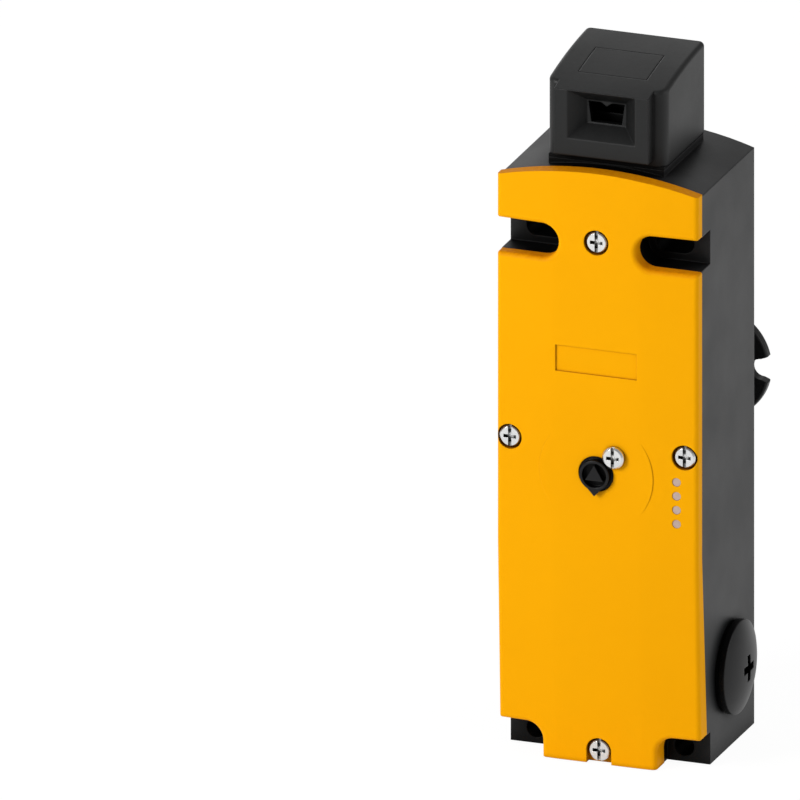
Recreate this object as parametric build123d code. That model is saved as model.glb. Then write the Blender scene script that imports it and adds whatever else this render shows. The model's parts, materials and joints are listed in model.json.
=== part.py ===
from build123d import *
import math
import os

# A guard-locking tongue interlock switch. The origin lies on the rear mounting face, midway between
# the two lower fixing holes. +X is to the right seen from the front, +Y runs to the wall behind and
# +Z is up. Sizes are in millimetres, and angles in degrees.

# Clearances
running_gap = 0.3        # moving piece to its neighbours
guide_gap = 0.15         # each side of a slide in its guide
shaft_gap = 0.05         # radial, shafts and screws in their bores
seam_gap = 0.15          # around a piece let into another
seat_gap = 0.1           # between faces that rest on each other, and between loose ends

# Housing
housing_width = 54.0
housing_depth = 32.8     # rear face to the floors of the fixing lugs
rim_height = 6.5         # side rims in front of the lug floors
housing_wall = 2.5
rear_wall = 3.0
lug_drop = 4.2           # lower fixing holes above the bottom edge
fixing_height = 136.0    # lower holes to upper slots
lower_hole_pitch = 40.0
slot_pitch = 35.0
slot_length = 10.3
fixing_bore = 5.3
lug_radius = 4.6         # free radius round each fixing screw
shoulder_rise = 15.7     # upper slots to the shoulders of the arch
arch_rise = 4.1
slope_start = 53.8       # below this height the front leans back
rim_slope = 4.2

# Cover
cover_depth = 4.2        # parting line to the front
cover_wall = 2.5
cover_skirt = 2.8
cover_overhang = 0.2
cover_shoulder_lift = 0.7   # cover's shoulders above the case's
cover_slope = 2.1
flat_band = 23.6         # width of the flat middle band
side_slope = 3.0
side_radius = 1.2
notch_corner = 0.6
release_pad_radius = 15.4
plate_width = 22.0       # bare recess for a name plate
plate_height = 7.0
plate_depth = 0.4
plate_rise = 30.15       # above the release axis
gasket_inset = 0.6
gasket_width = 1.1
gasket_depth = 1.0

# Cover screws
screw_head_radius = 2.9
screw_head_height = 1.9
screw_shank_radius = 1.45
screw_length = 10.0      # below the head
screw_bore_end = 0.5     # bore beyond the tip
screw_floor = 2.0        # wall behind the bore
sink_gap = 0.45
screw_seat_depth = 2.0   # seats below the cover's front
screw_boss_radius = 3.5
side_screw_x = 23.65
side_screw_rise = 7.0    # above the release axis
top_screw_rise = 1.3     # above the upper slots
bottom_screw_rise = -0.8  # above the lower holes
drive_arm = 1.7          # cross and slot in the heads
drive_half_width = 0.45
head_chamfer = 0.45
cross_depth = 1.3
slot_depth = 0.8

# Releases, both on one axis
release_drop = 61.2      # upper slots down to the release axis
spindle_radius = 4.7
spindle_sink = 0.2       # its rim behind the cover's front, under the lock screw's head
spindle_crown = 1.5      # raised middle in front of the cover
spindle_crown_radius = 4.0
shank_radius = 3.0
pointer_reach = 5.6
drive_radius = 3.3
drive_depth = 1.6
cover_boss_radius = 8.0
cover_boss_length = 7.0
boss_root = 0.5          # the bosses start inside the cover's wall
cam_radius = 4.0
cam_flat = 1.0           # flat of each cam from the axis
lock_screw_x = 5.0
lock_screw_rise = 5.2
lock_screw_height = 1.6
lock_screw_length = 8.0
lock_boss_radius = 2.3
shaft_radius = 4.5
shaft_boss_radius = 8.5
shaft_boss_length = 5.5  # inside the rear wall
knob_standoff = 43.8     # rear face to the knob, for a profile between
knob_radius = 15.0
knob_thickness = 3.0
knob_hub_radius = 7.5
knob_hub_length = 5.0
knob_notch = 5.6
knob_notch_mouth = 8.0
knob_notch_depth = 5.0
knob_screw_length = 9.0
knob_screw_radius = 1.5
knob_screw_head_radius = 2.9
knob_screw_head = 1.6
knob_edge = 0.7
knob_cup = 1.2           # shaft's end below the knob's rear face
clip_thickness = 0.8
clip_height = 2.3
ring_width = 1.3
ring_height = 1.1

# Light guides
led_x = 21.6
led_rise = 0.2           # top guide above the release axis
led_pitch = 3.77
led_count = 4
led_radius = 1.1
guide_bar_half = 1.6     # bar that joins the guides
guide_bar_margin = 1.8
guide_bar_gap = 0.4
guide_bar_thickness = 1.5

# Cable entries
entry_radius = 10.0
entry_height = 17.1
entry_depth = 16.9       # in front of the rear face
entry_boss = 5.0         # thread length inside the wall
entry_boss_radius = 12.5
plug_radius = 12.3
plug_rim = 1.6
plug_dome = 4.0
plug_seal = 0.8
plug_cross = 7.0
plug_cross_arm = 2.0
plug_cross_depth = 1.8
plug_wall = 2.2
plug_end_gap = 0.5       # plug's inner end to the end of its boss
plug_seal_width = 1.5
plug_seal_play = 0.3

# Head
head_width = 32.2
head_overhang = 3.6      # its front beyond the floors of the fixing lugs
head_rear = 6.0
plinth_rise = 0.5        # seat above the crown of the arch
plinth_inset = 0.5
head_seal_thickness = 0.8
roof_front_rise = 40.4   # roof heights above the upper slots
roof_middle_rise = 43.9
roof_rear_rise = 45.4
nose_width = 25.6
nose_depth = 3.4
nose_bottom_rise = 22.8
head_wall = 2.5
head_front_corner = 3.2
head_rear_corner = 1.6
roof_edge = 1.2
funnel_width = 18.4
funnel_height = 13.0
funnel_depth = 4.2
slot_rise = 33.8         # middle of the tongue slot above the upper slots
slot_top_width = 9.8
slot_bottom_width = 8.3
slot_height = 5.6
slot_rib = 1.0
cap_thickness = 1.5      # cap of the unused slot in the roof
top_plug_x = 4.8
top_plug_y = 2.8
neck_radius = 11.0
neck_flange = 1.6
clip_plate = 1.5
clip_margin = 3.0        # clip beyond the neck
clip_play = 0.3
head_boss_height = 7.3   # thickness of the housing's top under the head
base_thickness = 2.0
base_screw_inset = 5.2
base_screw_radius = 1.2
base_screw_head = 2.2
base_screw_length = 9.0
base_screw_sink = 1.2
base_screw_slot = 0.35   # half width
base_boss_wall = 1.6
neck_groove = 2.0
axle_wall = 1.2          # closed end of the axle's bore

# Tongue wheel and plunger
wheel_rise = 30.3        # wheel axis above the upper slots
wheel_radius = 8.6
wheel_width = 10.0
hub_radius = 3.2
axle_radius = 2.0
cam_high = 7.6
wheel_turn = 60.0
plunger_travel = 3.0
cam_lead = 15.0
cam_run_out = 22.0
cam_gap = 0.45
pocket_width = 4.0
pocket_depth = 4.0
slot_offset = 3.5        # tongue path above the wheel axis
plunger_radius = 3.0
plunger_tip = 0.6
plunger_cone = 3.75
collar_radius = 5.2
collar_thickness = 1.5
spring_wire = 1.0

# Locking mechanism, heights above the release axis
stem_width = 8.0
foot_rise = 29.2
foot_thickness = 3.0
bolt_rise = 38.2
bolt_height = 5.0
bolt_width = 7.0
bolt_length = 13.0
bolt_travel = 5.0
bolt_grip = 1.6
bolt_bevel = 1.0
lock_play = 0.8
pin_radius = 1.0
slide_thickness = 2.0
slide_width = 16.0
stem_gap = 0.7           # between stem and slide
slide_travel = 3.0
slide_margin = 4.0       # slide above the bolt
frame_thickness = 2.5
frame_width = 38.0
bracket_height = 5.0
rail_thickness = 2.0
frame_screw_radius = 1.2
frame_screw_head_radius = 2.4
frame_screw_head = 1.6
frame_screw_slot = 0.35  # half width
frame_screw_inset = 4.0
bolt_guide_wall = 1.6
slide_track_wall = 2.4

# Solenoid
solenoid_drop = 18.8     # its top below the release axis
solenoid_width = 24.0
solenoid_height = 30.0
yoke_thickness = 2.0
winding_gap = 1.0        # winding inside the yoke's window and edges
bobbin_radius = 6.0
bobbin_flange = 1.2
armature_radius = 4.9
core_height = 10.0
armature_collar = 7.0
armature_collar_drop = 12.8  # collar underside below the release axis
armature_top_drop = 7.4
armature_collar_thickness = 1.2
armature_fork = 4.0
core_stub_radius = 2.5
core_stub_end = 0.8
link_radius = 0.8

# Contacts
contact_x = 12.0
contact_width = 14.0
contact_height = 19.0
contact_rise = 7.8       # bottom of the cases above the release axis
contact_setback = 5.5    # cases behind the cover's front
contact_shell = 1.5
contact_rod = 4.0
contact_rod_setback = 6.0    # rods behind the cases' fronts
bridge_length = 9.0
bridge_width = 3.0
bridge_thickness = 0.8
terminal_strip = 0.8
contact_floor = 3.0
contact_roof = 2.5
contact_opening = 0.35  # bridge to strips with the rod up

# Terminal block and light board
terminal_width = 40.0
terminal_height = 13.0
terminal_setback = 4.5   # behind the cover's front
terminal_depth = 11.0
terminal_count = 5
terminal_leg = 5.0
terminal_bay_width = 5.2
terminal_bay_height = 4.8
terminal_bay_depth = 5.0
clamp_thickness = 1.55
clamp_screw_head_radius = 2.1
clamp_screw_head = 1.6
clamp_screw_radius = 1.2
clamp_screw_length = 4.1
clamp_screw_slot = 0.3   # half width
board_thickness = 1.5
board_width = 11.0
board_height = 17.0
board_setback = 10.0     # behind the cover's front
board_top_margin = 1.5
board_wall_gap = 0.4
board_screw_radius = 1.0
board_screw_head_radius = 1.9
board_screw_head = 1.2
board_screw_length = 5.0
led_half_width = 0.8
led_half_height = 0.9
led_thickness = 1.0
post_radius = 2.2

# Places worked out from the sizes above
overall_depth = housing_depth + rim_height + cover_depth
board_front = overall_depth - board_setback
contact_front = overall_depth - contact_setback
contact_rod_depth = contact_front - contact_rod_setback
terminal_front = overall_depth - terminal_setback
guide_rear = -(board_front + 1.2)
half_width = housing_width / 2
bottom_z = -lug_drop
rim_front = -(housing_depth + rim_height)
cover_boss_front = -(overall_depth - cover_wall + boss_root)
cover_boss_rear = cover_boss_front + cover_boss_length
shoulder_z = fixing_height + shoulder_rise
crown_z = shoulder_z + arch_rise
arch_radius = (half_width ** 2 + arch_rise ** 2) / (2 * arch_rise)
arch_centre_z = crown_z - arch_radius
slot_inner_x = slot_pitch / 2 - (slot_length - fixing_bore) / 2
release_z = fixing_height - release_drop
head_front = housing_depth + head_overhang
head_y = -(head_front + head_rear) / 2
plinth_z = crown_z + plinth_rise
head_z = plinth_z + head_seal_thickness
boss_z = plinth_z - head_boss_height
wheel_z = fixing_height + wheel_rise
slot_z = fixing_height + slot_rise
stem_front = head_y - stem_width / 2
stem_rear = head_y + stem_width / 2
slide_front = stem_rear + stem_gap
slide_rear = slide_front + slide_thickness
slide_y = (slide_front + slide_rear) / 2
top_slot_middle = head_y - slot_offset
neck_low = boss_z - clip_play - clip_plate - neck_flange
spring_seat = neck_low + 2.4
collar_low = head_z - 4.1
stem_top = neck_low - plunger_travel - running_gap - 0.3
bolt_rear = slide_front - 1.2
bolt_tip = -stem_width / 2 + bolt_grip - bolt_travel
bolt_pin_x = bolt_tip - 4.6
bolt_tail = bolt_tip - bolt_length
case_step = slide_front - 2.0
terminal_low = entry_height + entry_boss_radius + 0.5
terminal_top = terminal_low + terminal_height
solenoid_top = release_z - solenoid_drop
solenoid_low = solenoid_top - solenoid_height
link_z = release_z - armature_top_drop - 2.0
frame_front = -(rear_wall + frame_thickness)
frame_top = fixing_height - lug_radius - housing_wall - 1.0
frame_low = solenoid_low - 2.0
solenoid_depth = 2 * (frame_front - slide_y)
winding_radius = min(solenoid_depth, solenoid_width - 2 * yoke_thickness) / 2 - winding_gap
overrun = 30.0           # cutting shapes run this far past the case
far = 400.0              # beyond every piece, for cutting


# Plain shapes, placed by their limits
def block(x0, x1, y0, y1, z0, z1):
    box = Box(x1 - x0, y1 - y0, z1 - z0)
    return Pos((x0 + x1) / 2, (y0 + y1) / 2, (z0 + z1) / 2) * box


def rod_x(y, z, radius, x0, x1):
    return Pos((x0 + x1) / 2, y, z) * Rot(0, 90, 0) * Cylinder(radius, abs(x1 - x0))


def rod_y(x, z, radius, y0, y1):
    return Pos(x, (y0 + y1) / 2, z) * Rot(90, 0, 0) * Cylinder(radius, abs(y1 - y0))


def rod_z(x, y, radius, z0, z1):
    return Pos(x, y, (z0 + z1) / 2) * Cylinder(radius, abs(z1 - z0))


def polygon(points):
    return make_face(Polyline(*points, close=True))


def along_y(face, rear, front):
    return extrude(Plane.XZ.offset(-rear) * face, amount=rear - front, dir=(0, -1, 0))


def along_x(face, left, right):
    return extrude(Plane.YZ.offset(left) * face, amount=right - left, dir=(1, 0, 0))


def along_z(face, low, high):
    return extrude(Plane.XY.offset(low) * face, amount=high - low, dir=(0, 0, 1))


# Outlines seen from the front
def arched_face(half, low, shoulder, crown):
    sides = Polyline((-half, shoulder), (-half, low), (half, low), (half, shoulder))
    arch = ThreePointArc((half, shoulder), (0, crown), (-half, shoulder))
    return make_face([sides, arch])


def outline(grow):
    half = half_width + grow
    radius = arch_radius + grow
    shoulder = arch_centre_z + math.sqrt(radius ** 2 - half ** 2)
    return arched_face(half, bottom_z - grow, shoulder, arch_centre_z + radius)


def cover_outline():
    shoulder = shoulder_z + cover_shoulder_lift
    half = half_width + cover_overhang
    return arched_face(half, bottom_z - cover_overhang, shoulder, crown_z + cover_overhang)


def lug_shapes(grow):
    reach = lug_radius + grow
    outside = half_width + overrun
    shapes = Sketch()
    for side in (-1, 1):
        upper = Pos(side * slot_inner_x, fixing_height) * Circle(reach)
        length = outside - slot_inner_x
        upper += Pos(side * (slot_inner_x + length / 2), fixing_height) * Rectangle(length, 2 * reach)
        hole_x = lower_hole_pitch / 2
        lower = Pos(side * hole_x, 0) * Circle(reach)
        length = outside - hole_x
        lower += Pos(side * (hole_x + length / 2), reach / 2) * Rectangle(length, reach)
        length = outside - hole_x + reach
        lower += Pos(side * (outside - length / 2), -overrun / 2) * Rectangle(length, overrun)
        shapes += upper + lower
    return shapes


def inner_region(inset):
    return outline(-inset) - lug_shapes(inset)


def leaning_side(front, slope):
    # Side view of all that lies behind a front face which leans back below slope_start.
    drop = 40.0
    lean = (slope_start + drop) * math.tan(math.radians(slope))
    points = [(far, -drop), (far, far), (-front, far), (-front, slope_start), (lean - front, -drop)]
    return along_x(polygon(points), -far, far)


def behind_rim():
    return leaning_side(-rim_front, rim_slope)


def leaning_plan(points, slope):
    # A plan drawn out upwards above slope_start, and leaning back below it.
    angle = math.radians(slope)
    section = Plane.XY.offset(slope_start) * polygon(points)
    lower = extrude(section, amount=far, dir=(0, math.sin(angle), -math.cos(angle)))
    return lower + extrude(section, amount=far, dir=(0, 0, 1))


def cover_screw_places():
    side_z = release_z + side_screw_rise
    return [
        (0, fixing_height + top_screw_rise),
        (-side_screw_x, side_z),
        (side_screw_x, side_z),
        (0, bottom_screw_rise),
    ]


def front_at(x, z):
    # Depth of the cover's front face at a place, in front of the rear face.
    lean = max(0.0, slope_start - z) * math.tan(math.radians(cover_slope))
    fall = max(0.0, abs(x) - flat_band / 2) * math.tan(math.radians(side_slope))
    return overall_depth - lean - fall


# Housing with its lugs, bosses and cable entries
def make_housing():
    body = along_y(outline(0), 0, rim_front) & behind_rim()
    body -= along_y(inner_region(housing_wall), -rear_wall, rim_front - 1)
    body -= along_y(lug_shapes(0), -housing_depth, rim_front - 1)
    half = head_width / 2 - plinth_inset
    rear = -(head_rear + plinth_inset)
    front = -(head_front - plinth_inset)
    body += block(-half, half, front, rear, boss_z, plinth_z)
    seats = Part()
    for x, z in cover_screw_places():
        seats += rod_y(x, z, screw_boss_radius, screw_seat_rear(x, z), rim_front)
    top_z = fixing_height + top_screw_rise
    reach = screw_boss_radius + 0.5
    web = slot_inner_x - lug_radius
    seats += block(-web, web, rim_front, screw_seat_rear(0, top_z), top_z - reach, top_z + reach)
    shell = along_y(outline(0), 0, rim_front)
    body += seats & shell & behind_rim()
    body += rod_y(0, release_z, shaft_boss_radius, 0, -(rear_wall + shaft_boss_length))
    inner = half_width - housing_wall - entry_boss
    for side in (-1, 1):
        body += rod_x(-entry_depth, entry_height, entry_boss_radius, side * inner, side * (half_width - 1))
    entry_top = bottom_z + housing_wall + entry_boss
    body += rod_z(0, -entry_depth, entry_boss_radius, bottom_z + 1, entry_top)
    for side in (-1, 1):
        body -= rod_x(-entry_depth, entry_height, entry_radius, side * (inner - 1), side * (half_width + 1))
        slot = Pos(side * slot_pitch / 2, fixing_height) * SlotOverall(slot_length, fixing_bore)
        body -= along_y(slot, 1, -housing_depth - 1)
        body -= rod_y(side * lower_hole_pitch / 2, 0, fixing_bore / 2, 1, -housing_depth - 1)
    body -= rod_z(0, -entry_depth, entry_radius, bottom_z - 1, entry_top + 1)
    body -= rod_y(0, release_z, shaft_radius + shaft_gap, 1, -far)
    body -= rod_z(0, head_y, neck_radius + shaft_gap, boss_z - 1, plinth_z + 1)
    for x, z in cover_screw_places():
        hole = screw_shank_radius + shaft_gap
        body -= rod_y(x, z, hole, rim_front - 1, screw_tip(x, z) + screw_bore_end)
    for x, z in frame_screw_places():
        body -= rod_y(x, z, frame_screw_radius + shaft_gap, -1, -rear_wall - 1)
    return body


def screw_seat(x, z):
    return -(front_at(x, z) - screw_seat_depth)


def screw_tip(x, z):
    return screw_seat(x, z) + screw_length


def screw_seat_rear(x, z):
    # Rear end of the column that takes a cover screw; the side ones run back to the rear wall.
    return -rear_wall if x else screw_tip(x, z) + screw_bore_end + screw_floor


# Yellow front cover
def make_cover():
    face = cover_outline() - lug_shapes(0)
    half = half_width + cover_overhang
    corners = face.vertices().filter_by(lambda v: abs(abs(v.X) - half) < 0.01 and v.Y < shoulder_z - 1)
    face = fillet(corners, notch_corner)
    body = along_y(face, -housing_depth, -overall_depth) - behind_rim()
    fall = overrun * math.tan(math.radians(side_slope))
    band = flat_band / 2
    edge = band + overrun
    plan = [(-edge, fall - overall_depth), (-band, -overall_depth), (band, -overall_depth),
            (edge, fall - overall_depth), (edge, 0), (-edge, 0)]
    body &= leaning_plan(plan, cover_slope)
    side_edges = body.edges().filter_by(lambda e: is_side_edge(e, half))
    body = fillet(side_edges, side_radius)
    pad = rod_y(0, release_z, release_pad_radius, -overall_depth + cover_wall, -overall_depth)
    body += pad & leaning_side(overall_depth, cover_slope)
    hollow = along_y(inner_region(cover_skirt), -housing_depth + 1, -overall_depth)
    body -= hollow & leaning_side(overall_depth - cover_wall, cover_slope)
    lock_z = release_z + lock_screw_rise
    body += rod_y(0, release_z, cover_boss_radius, cover_boss_rear, cover_boss_front)
    body += rod_y(lock_screw_x, lock_z, lock_boss_radius, cover_boss_rear, cover_boss_front)
    for x, z in cover_screw_places():
        sleeve = rod_y(x, z, screw_boss_radius, -housing_depth, screw_seat(x, z))
        body += sleeve & along_y(outline(0) - lug_shapes(0), 0, -overall_depth) - behind_rim()
    groove = along_y(inner_region(gasket_inset) - inner_region(gasket_inset + gasket_width), 0, -far)
    body -= groove & leaning_side(gasket_depth - rim_front, rim_slope) - behind_rim()
    body -= rod_y(0, release_z, spindle_radius + shaft_gap, 0, -overall_depth - 1)
    for x, z in cover_screw_places():
        seat = screw_seat(x, z)
        body -= rod_y(x, z, screw_head_radius + sink_gap, seat, -overall_depth - 1)
        body -= rod_y(x, z, screw_shank_radius + shaft_gap, 0, seat - 0.01)
    width = 2 * (screw_head_radius + sink_gap)
    seat = screw_seat(0, bottom_screw_rise)
    body -= block(-width / 2, width / 2, -overall_depth - 1, seat, bottom_z - 5, bottom_screw_rise)
    body -= rod_y(lock_screw_x, lock_z, screw_shank_radius + shaft_gap, 0, -overall_depth - 1)
    for z in led_heights():
        body -= rod_y(led_x, z, led_radius + shaft_gap, 0, -overall_depth - 1)
    plate_z = release_z + plate_rise
    plate_floor = -(overall_depth - plate_depth)
    body -= block(-plate_width / 2, plate_width / 2, -overall_depth - 1, plate_floor,
                  plate_z - plate_height / 2, plate_z + plate_height / 2)
    return body


def is_side_edge(edge, half):
    # Edges where the sloped front meets the sides.
    box = edge.bounding_box()
    upright = box.size.Z > 2 and box.size.X < 0.01
    in_front = box.min.Y < rim_front - cover_depth / 2
    return upright and in_front and abs(abs(edge.center().X) - half) < 0.01


def make_gasket():
    ring = inner_region(gasket_inset + 0.05) - inner_region(gasket_inset + gasket_width - 0.05)
    solid = along_y(ring, 0, -far) & leaning_side(gasket_depth - rim_front, rim_slope)
    return solid - behind_rim()


def led_heights():
    return [release_z + led_rise - i * led_pitch for i in range(led_count)]


# Screws with their heads to the front
def pan_screw(x, z, seat, height, length):
    head = rod_y(x, z, screw_head_radius, seat, seat - height)
    rim = head.edges().filter_by(GeomType.CIRCLE).sort_by(Axis.Y)[0]
    head = chamfer(rim, head_chamfer)
    screw = head + rod_y(x, z, screw_shank_radius, seat - 0.1, seat + length)
    face = seat - height
    arm = drive_arm
    half = drive_half_width
    screw -= block(x - arm, x + arm, face - 1, face + cross_depth, z - half, z + half)
    screw -= block(x - half, x + half, face - 1, face + cross_depth, z - arm, z + arm)
    reach = screw_head_radius + 1
    return screw - block(x - half, x + half, face - 1, face + slot_depth, z - reach, z + reach)


def make_cover_screws():
    return [pan_screw(x, z, screw_seat(x, z), screw_head_height, screw_length)
            for x, z in cover_screw_places()]


def make_lock_screw():
    z = release_z + lock_screw_rise
    return pan_screw(lock_screw_x, z, -overall_depth, lock_screw_height, lock_screw_length)


# Front release, turned by a triangular key
def cam_end(y0, y1):
    cam = rod_y(0, release_z, cam_radius, y0, y1)
    low = release_z - cam_radius - 1
    return cam - block(-far / 8, far / 8, min(y0, y1) - 1, max(y0, y1) + 1, low, release_z - cam_flat)


def ring_groove(radius, y):
    # Groove for a sealing ring, and the ring, of rectangular section.
    floor = radius - ring_height
    groove = rod_y(0, release_z, radius + 1, y, y + ring_width + 0.2)
    groove -= rod_y(0, release_z, floor, y - 1, y + ring_width + 1)
    ring = rod_y(0, release_z, radius, y + 0.1, y + 0.1 + ring_width)
    ring -= rod_y(0, release_z, floor + 0.05, y - 1, y + ring_width + 1)
    return groove, ring


def clip_groove(radius, y):
    # Groove for a retaining clip, and the open clip.
    floor = radius - 1.0
    groove = rod_y(0, release_z, radius + 1, y, y + clip_thickness + 0.1)
    groove -= rod_y(0, release_z, floor, y - 1, y + clip_thickness + 1)
    clip = rod_y(0, release_z, radius + clip_height, y + 0.05, y + 0.05 + clip_thickness)
    clip -= rod_y(0, release_z, floor + 0.05, y - 1, y + clip_thickness + 1)
    mouth = floor * 0.8
    clip -= block(-mouth, mouth, y - 1, y + clip_thickness + 1,
                  release_z, release_z + radius + clip_height + 1)
    return groove, clip


def make_auxiliary_release():
    rim = -(overall_depth - spindle_sink)
    face = -(overall_depth + spindle_crown)
    clip_y = cover_boss_rear + 2 * seat_gap
    body_end = clip_y + clip_thickness + 1.1
    body = rod_y(0, release_z, spindle_radius, rim, body_end)
    body += rod_y(0, release_z, spindle_crown_radius, face, rim + 1)
    tip_z = release_z - pointer_reach
    flank_x = spindle_crown_radius * 0.55
    flank_z = release_z - spindle_crown_radius * 0.8
    pointer = polygon([(0, tip_z), (flank_x, flank_z), (-flank_x, flank_z)])
    body += along_y(pointer, -(overall_depth + running_gap), face)
    recess = rod_y(0, release_z, drive_radius, face - 1, face + drive_depth)
    key = Pos(0, release_z) * RegularPolygon(drive_radius - 0.5, 3, rotation=90)
    recess -= along_y(key, face + drive_depth + 1, face - 2)
    body -= recess
    groove, ring = ring_groove(spindle_radius, cover_boss_rear - 4.0)
    body -= groove
    groove, clip = clip_groove(spindle_radius, clip_y)
    body -= groove
    cam_back = slide_y - guide_gap
    cam_front = slide_front - 1.5
    body += rod_y(0, release_z, shank_radius, body_end - 0.1, cam_front)
    body += cam_end(cam_front, cam_back)
    return {
        "auxiliary_release_spindle": body,
        "auxiliary_release_ring": ring,
        "auxiliary_release_clip": clip,
    }


# Rear release on its long shaft
def make_escape_release():
    boss_front = -(rear_wall + shaft_boss_length)
    clip_y = boss_front - 0.2 - clip_thickness - 0.1
    shoulder = clip_y - 0.9
    knob_front = knob_standoff - knob_hub_length
    knob_rear = knob_standoff + knob_thickness
    end = knob_rear - knob_cup
    shaft = rod_y(0, release_z, shaft_radius, shoulder, knob_front)
    flats = shaft_radius * 1.35
    square = Pos(0, release_z) * Rectangle(flats, flats)
    shaft += along_y(square, end, knob_front - 1)
    shaft += cam_end(shoulder, slide_y + guide_gap)
    groove, ring = ring_groove(shaft_radius, -3.4)
    shaft -= groove
    groove, clip = clip_groove(shaft_radius, clip_y)
    shaft -= groove
    screw_end = end - knob_screw_length
    shaft -= rod_y(0, release_z, knob_screw_radius + shaft_gap, end + 1, screw_end - screw_bore_end)
    knob = rod_y(0, release_z, knob_radius, knob_standoff, knob_rear)
    rims = knob.edges().filter_by(GeomType.CIRCLE)
    knob = fillet(rims, knob_edge)
    knob += rod_y(0, release_z, knob_hub_radius, knob_front, knob_standoff)
    bottom = knob_radius - knob_notch_depth + knob_notch / 2
    for side in (-1, 1):
        mouth = polygon([(side * bottom, release_z - knob_notch / 2),
                         (side * bottom, release_z + knob_notch / 2),
                         (side * (knob_radius + 1), release_z + knob_notch_mouth / 2),
                         (side * (knob_radius + 1), release_z - knob_notch_mouth / 2)])
        notch = mouth + Pos(side * bottom, release_z) * Circle(knob_notch / 2)
        knob -= along_y(notch, knob_rear + 1, knob_front - 1)
    socket = Pos(0, release_z) * Rectangle(flats + 2 * shaft_gap, flats + 2 * shaft_gap)
    knob -= along_y(socket, end, knob_front - 1)
    knob -= rod_y(0, release_z, knob_screw_radius + shaft_gap, end - 1, knob_rear + 1)
    head_rear_face = knob_rear + knob_screw_head
    slot_half = 0.4
    screw = rod_y(0, release_z, knob_screw_radius, screw_end, knob_rear + 0.1)
    screw += rod_y(0, release_z, knob_screw_head_radius, knob_rear, head_rear_face)
    screw -= block(-far / 8, far / 8, head_rear_face - knob_screw_head / 2, head_rear_face + 1,
                   release_z - slot_half, release_z + slot_half)
    return {
        "escape_release_shaft": shaft,
        "escape_release_knob": knob,
        "escape_knob_screw": screw,
        "escape_release_ring": ring,
        "escape_release_clip": clip,
    }


# Light guides, board and lights
def make_light_guides():
    heights = led_heights()
    rods = Part()
    bar_front = -(overall_depth - cover_wall) + guide_bar_gap
    bar_rear = bar_front + guide_bar_thickness
    for z in heights:
        front = -(front_at(led_x, z) - seat_gap)
        rods += rod_y(led_x, z, led_radius, front, guide_rear)
    bar = block(led_x - guide_bar_half, led_x + guide_bar_half, bar_front, bar_rear,
                heights[-1] - guide_bar_margin, heights[0] + guide_bar_margin)
    return rods + bar


def make_light_board():
    heights = led_heights()
    right = half_width - housing_wall - board_wall_gap
    left = right - board_width
    top = heights[0] + board_top_margin
    low = top - board_height
    board = block(left, right, -board_front, -board_front + board_thickness, low, top)
    x = left + post_radius
    posts = [(x, top - post_radius), (x, low + post_radius)]
    lights = [block(led_x - led_half_width, led_x + led_half_width,
                    -board_front - led_thickness, -board_front,
                    z - led_half_height, z + led_half_height) for z in heights]
    screws = []
    for x, z in posts:
        board -= rod_y(x, z, board_screw_radius + shaft_gap, 0, -far)
        screw = rod_y(x, z, board_screw_head_radius, -board_front, -board_front - board_screw_head)
        screw += rod_y(x, z, board_screw_radius, -board_front - 0.1,
                       -board_front + board_thickness + board_screw_length)
        screws.append(screw)
    return board, lights, screws, posts


# Blanking plugs and their seals
def make_plug(side):
    under = half_width + plug_seal
    rim = under + plug_rim
    crown = under + plug_dome
    inner = half_width - housing_wall - entry_boss + plug_end_gap
    bore = entry_radius - plug_wall
    section = Polyline((inner, bore), (inner, entry_radius - shaft_gap), (under, entry_radius - shaft_gap),
                       (under, plug_radius), (rim, plug_radius))
    dome = ThreePointArc((rim, plug_radius), (crown - 0.6, plug_radius * 0.55), (crown, 0))
    close = Polyline((crown, 0), (under, 0), (under, bore), (inner, bore))
    plug = revolve(make_face([section, dome, close]), axis=Axis.X)
    plug = Pos(0, -entry_depth, entry_height) * plug
    reach = plug_cross / 2
    arm = plug_cross_arm / 2
    for y, z in ((reach, arm), (arm, reach)):
        plug -= block(crown - plug_cross_depth, crown + 1, -entry_depth - y, -entry_depth + y,
                      entry_height - z, entry_height + z)
    seal_bore = entry_radius + plug_seal_play
    seal = rod_x(-entry_depth, entry_height, seal_bore + plug_seal_width, half_width, under)
    seal -= rod_x(-entry_depth, entry_height, seal_bore, half_width - 1, under + 1)
    if side < 0:
        plug = mirror(plug, Plane.YZ)
        seal = mirror(seal, Plane.YZ)
    return plug, seal


# Head shell, with the roof curved along Y
def head_profile(front, rear, low, lower):
    # Side view between two depths, with the roof lowered by a wall.
    def roof(y):
        return roof_height(y) - lower
    middle = -(front + rear) / 2
    sides = Polyline((-rear, roof(-rear)), (-rear, low), (-front, low), (-front, roof(-front)))
    top = ThreePointArc((-front, roof(-front)), (middle, roof(middle)), (-rear, roof(-rear)))
    return make_face([sides, top])


def roof_height(y):
    # Height of the roof at a depth, on the parabola through its front, middle and rear.
    front = -(head_front + nose_depth)
    rear = -head_rear
    middle = (front + rear) / 2
    half = (rear - front) / 2
    t = (y - middle) / half
    slope = (roof_rear_rise - roof_front_rise) / 2
    bend = (roof_rear_rise + roof_front_rise) / 2 - roof_middle_rise
    return fixing_height + roof_middle_rise + slope * t + bend * t * t


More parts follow.
